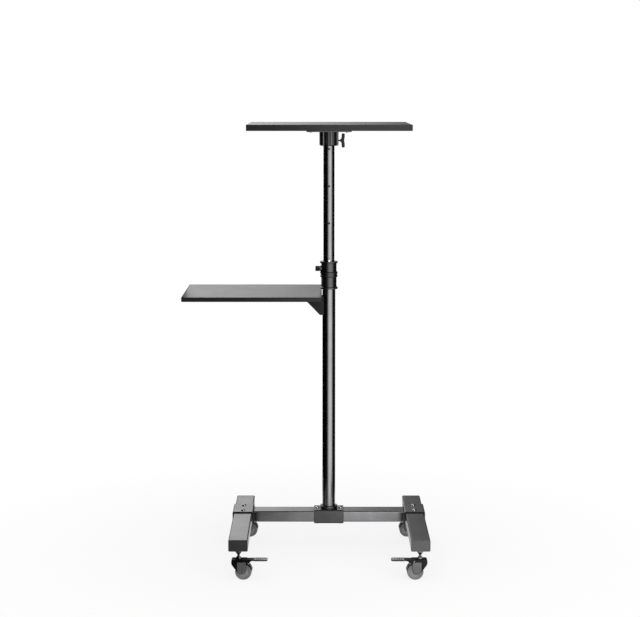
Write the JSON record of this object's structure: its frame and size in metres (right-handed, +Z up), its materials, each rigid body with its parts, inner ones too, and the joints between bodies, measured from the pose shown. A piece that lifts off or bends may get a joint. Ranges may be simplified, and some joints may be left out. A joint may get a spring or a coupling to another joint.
{
  "type": "audio visual cart",
  "caption": "Rolling stand for a projector: a low frame on swivel casters carries a telescopic pole with a turning top tray and a fixed side tray.",
  "frame": {"origin": "on the floor, under the middle of the cart's outline seen from above", "axes": "+Z up; -Y towards the cart's front, the end with the brake pedals; the side tray lies towards -X"},
  "size_m": [0.6528, 0.48, 1.1711],
  "materials": {
    "frame_steel": "satin black powder coat",
    "caster_fork_steel": "black with a grey tongue",
    "pole_tube": "gloss black",
    "black_plastic": "satin moulded black",
    "knob_plastic": "gloss moulded black",
    "slide_plastic": "smooth black, sliding face",
    "tray_board": "black laminate over board",
    "zinc_plate": "bright zinc plate",
    "dark_fastener": "black oxide",
    "wheel_tread": "grey rubber",
    "wheel_core": "grey moulded",
    "brake_pedal": "grey moulded, black at its root"
  },
  "bodies": {
    "frame": {"base_sleeve": "frame_steel", "bracket_bolt_lower": "dark_fastener", "bracket_bolt_upper": "dark_fastener", "caster_stem_front_left": "zinc_plate", "caster_stem_front_right": "zinc_plate", "caster_stem_rear_left": "zinc_plate", "caster_stem_rear_right": "zinc_plate", "collar_body": "black_plastic", "collar_bush": "slide_plastic", "crossbar": "frame_steel", "leg_cap_front_left": "black_plastic", "leg_cap_front_right": "black_plastic", "leg_cap_rear_left": "black_plastic", "leg_cap_rear_right": "black_plastic", "leg_left": "frame_steel", "leg_right": "frame_steel", "lower_pole": "pole_tube", "lower_tray": "tray_board", "lower_tray_bracket": "frame_steel", "pin_eye": "black_plastic", "pole_base_ring": "black_plastic", "pole_foot_bolt": "zinc_plate", "pole_foot_plug": "zinc_plate", "saddle_bolt_front_left": "dark_fastener", "saddle_bolt_front_right": "dark_fastener", "saddle_bolt_rear_left": "dark_fastener", "saddle_bolt_rear_right": "dark_fastener", "saddle_left": "frame_steel", "saddle_right": "frame_steel", "sleeve_bolt_left": "dark_fastener", "sleeve_bolt_right": "dark_fastener"},
    "column": {"upper_pole": "pole_tube", "upper_pole_guide": "slide_plastic"},
    "top": {"top_socket": "black_plastic", "top_tray": "tray_board"},
    "socket_screw": {"wing_screw": "knob_plastic"},
    "clamp_knob": {"collar_knob": "knob_plastic", "collar_knob_screw": "zinc_plate"},
    "locking_pin": {"height_pin": "zinc_plate"},
    "pedal_left": {"brake_pedal_left": "brake_pedal"},
    "fork_front_left": {"caster_fork_front_left": "caster_fork_steel", "wheel_axle_front_left": "zinc_plate", "brake_pin_left": "zinc_plate"},
    "wheel_front_left": {"wheel_tread_front_left": "wheel_tread", "wheel_core_front_left": "wheel_core"},
    "pedal_right": {"brake_pedal_right": "brake_pedal"},
    "fork_front_right": {"caster_fork_front_right": "caster_fork_steel", "wheel_axle_front_right": "zinc_plate", "brake_pin_right": "zinc_plate"},
    "wheel_front_right": {"wheel_tread_front_right": "wheel_tread", "wheel_core_front_right": "wheel_core"},
    "fork_rear_left": {"caster_fork_rear_left": "caster_fork_steel", "wheel_axle_rear_left": "zinc_plate"},
    "wheel_rear_left": {"wheel_tread_rear_left": "wheel_tread", "wheel_core_rear_left": "wheel_core"},
    "fork_rear_right": {"caster_fork_rear_right": "caster_fork_steel", "wheel_axle_rear_right": "zinc_plate"},
    "wheel_rear_right": {"wheel_tread_rear_right": "wheel_tread", "wheel_core_rear_right": "wheel_core"}
  },
  "joints": [
    {"name": "swivel_front_left", "type": "hinge", "parent": "frame", "child": "fork_front_left", "pos_m": [-0.1719, -0.212, 0.0545], "axis": [0, 0, 1], "continuous": true},
    {"name": "swivel_front_right", "type": "hinge", "parent": "frame", "child": "fork_front_right", "pos_m": [0.2981, -0.212, 0.0545], "axis": [0, 0, 1], "continuous": true},
    {"name": "swivel_rear_left", "type": "hinge", "parent": "frame", "child": "fork_rear_left", "pos_m": [-0.1719, 0.182, 0.0545], "axis": [0, 0, 1], "continuous": true},
    {"name": "swivel_rear_right", "type": "hinge", "parent": "frame", "child": "fork_rear_right", "pos_m": [0.2981, 0.182, 0.0545], "axis": [0, 0, 1], "continuous": true},
    {"name": "wheel_spin_front_left", "type": "hinge", "parent": "fork_front_left", "child": "wheel_front_left", "pos_m": [-0.1595, -0.212, 0.0215], "axis": [0, 1, 0], "continuous": true},
    {"name": "wheel_spin_front_right", "type": "hinge", "parent": "fork_front_right", "child": "wheel_front_right", "pos_m": [0.2857, -0.212, 0.0215], "axis": [0, 1, 0], "continuous": true},
    {"name": "wheel_spin_rear_left", "type": "hinge", "parent": "fork_rear_left", "child": "wheel_rear_left", "pos_m": [-0.1595, 0.182, 0.0215], "axis": [0, 1, 0], "continuous": true},
    {"name": "wheel_spin_rear_right", "type": "hinge", "parent": "fork_rear_right", "child": "wheel_rear_right", "pos_m": [0.2857, 0.182, 0.0215], "axis": [0, 1, 0], "continuous": true},
    {"name": "pedal_press_left", "type": "hinge", "parent": "fork_front_left", "child": "pedal_left", "pos_m": [-0.1564, -0.212, 0.0503], "axis": [0, 1, 0], "range_deg": [0, 15]},
    {"name": "pedal_press_right", "type": "hinge", "parent": "fork_front_right", "child": "pedal_right", "pos_m": [0.2826, -0.212, 0.0503], "axis": [0, -1, 0], "range_deg": [0, 15]},
    {"name": "pole_height", "type": "slide", "parent": "frame", "child": "column", "axis": [0, 0, 1], "range_m": [-0.3, 0.1]},
    {"name": "top_tray_turn", "type": "hinge", "parent": "column", "child": "top", "pos_m": [0.0631, 0.065, 1.1111], "axis": [0, 0, 1], "continuous": true},
    {"name": "wing_screw_turn", "type": "hinge", "parent": "top", "child": "socket_screw", "pos_m": [0.0631, 0.065, 1.1251], "axis": [1, 0, 0], "range_deg": [0, 450]},
    {"name": "collar_knob_turn", "type": "hinge", "parent": "frame", "child": "clamp_knob", "pos_m": [0.0631, 0.065, 0.7791], "axis": [-1, 0, 0], "range_deg": [0, 450]},
    {"name": "height_pin_slide", "type": "slide", "parent": "frame", "child": "locking_pin", "axis": [0, 1, 0], "range_m": [0, 0.004]}
  ]
}
